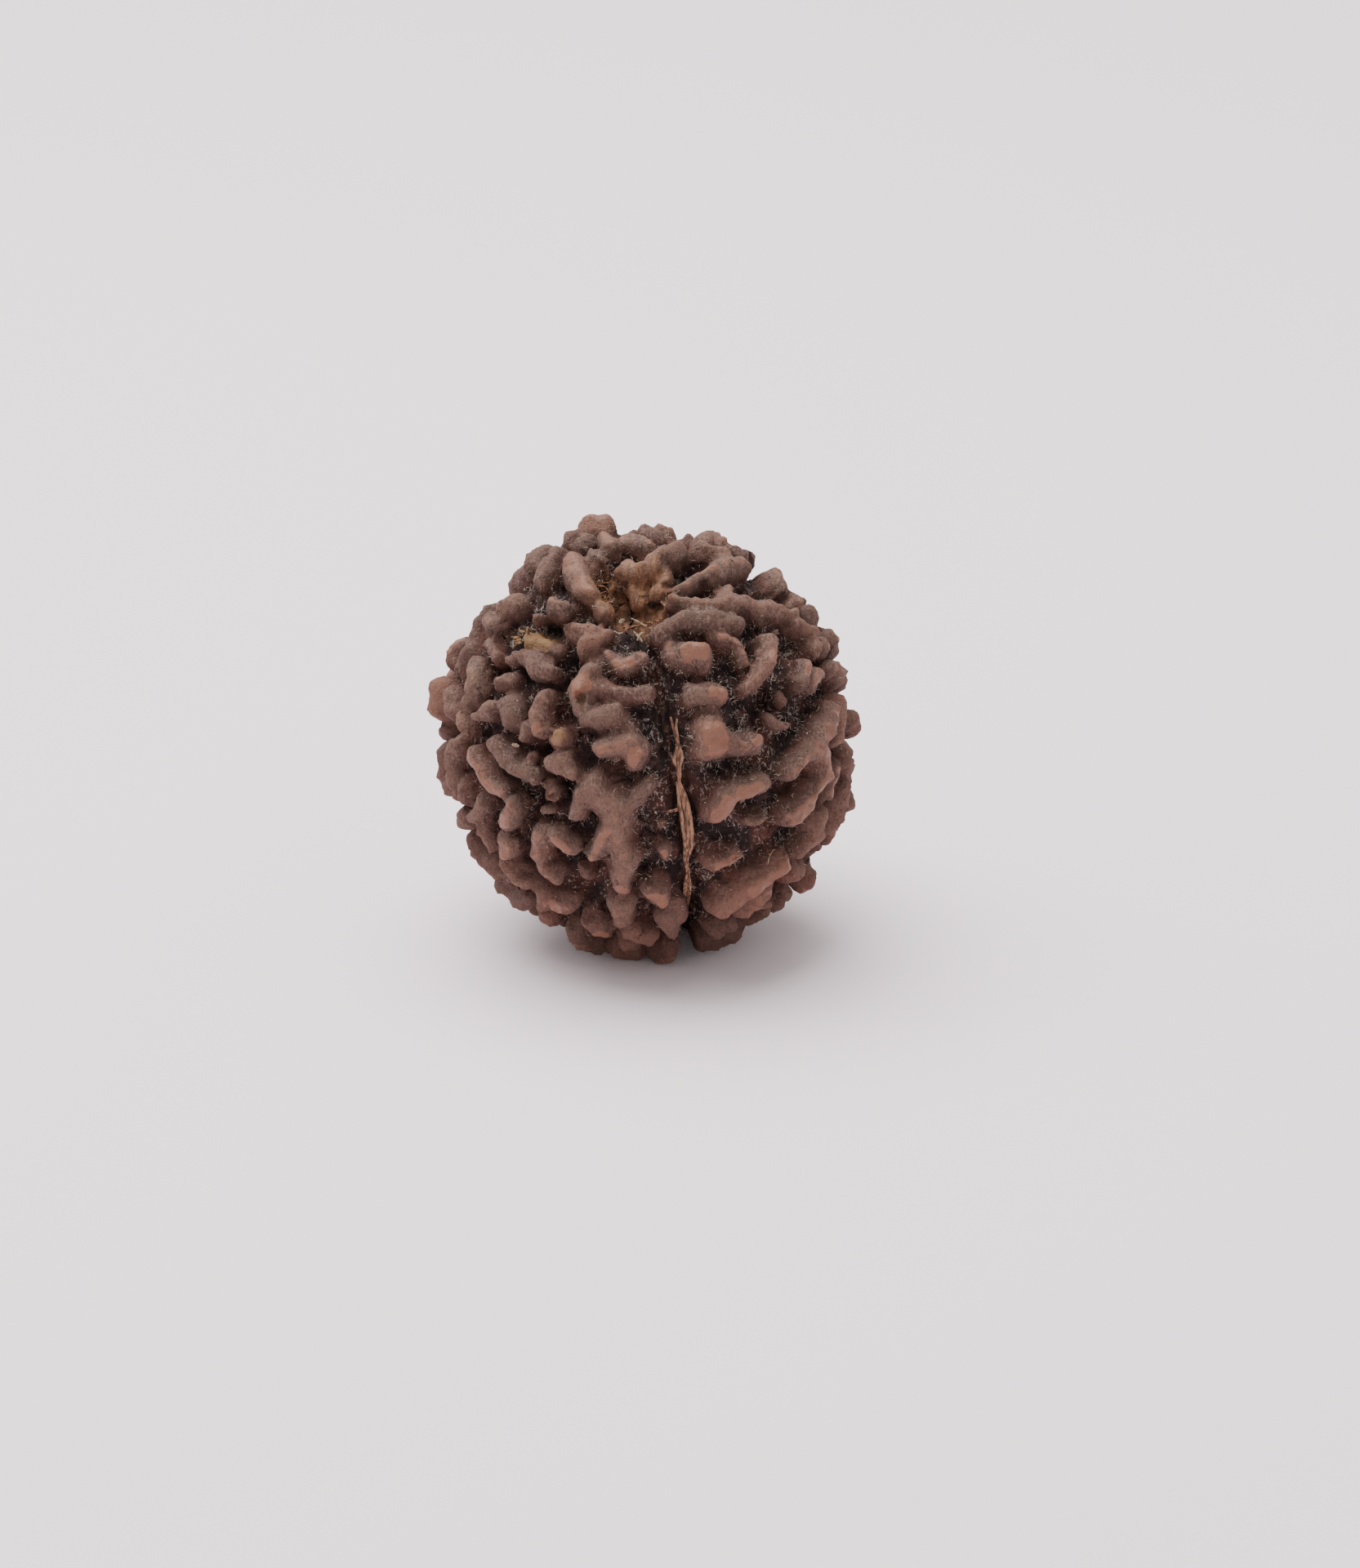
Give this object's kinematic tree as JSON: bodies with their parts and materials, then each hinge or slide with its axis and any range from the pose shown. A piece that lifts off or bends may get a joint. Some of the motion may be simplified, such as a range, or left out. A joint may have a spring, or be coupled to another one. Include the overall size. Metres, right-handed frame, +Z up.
{
  "type": "rudraksha seed",
  "caption": "Round, deeply lobed seed stone with seams from end to end and a small hollow at its stalk end, resting on flat-worn lobes.",
  "frame": {"origin": "the middle of the stone's outline, on the surface that it rests on", "axes": "+Z up, -Y towards the front that the picture shows, +X to that view's right; the stalk hollow leans up and to the front"},
  "size_m": [0.025, 0.0244, 0.0249],
  "materials": {
    "stone": "dry, dull red-brown stone, worn orange-brown on the tops of its lobes and near black between them, with pale dust and fibres"
  },
  "bodies": {
    "root": {"rudraksha_stone": "stone"}
  },
  "joints": []
}
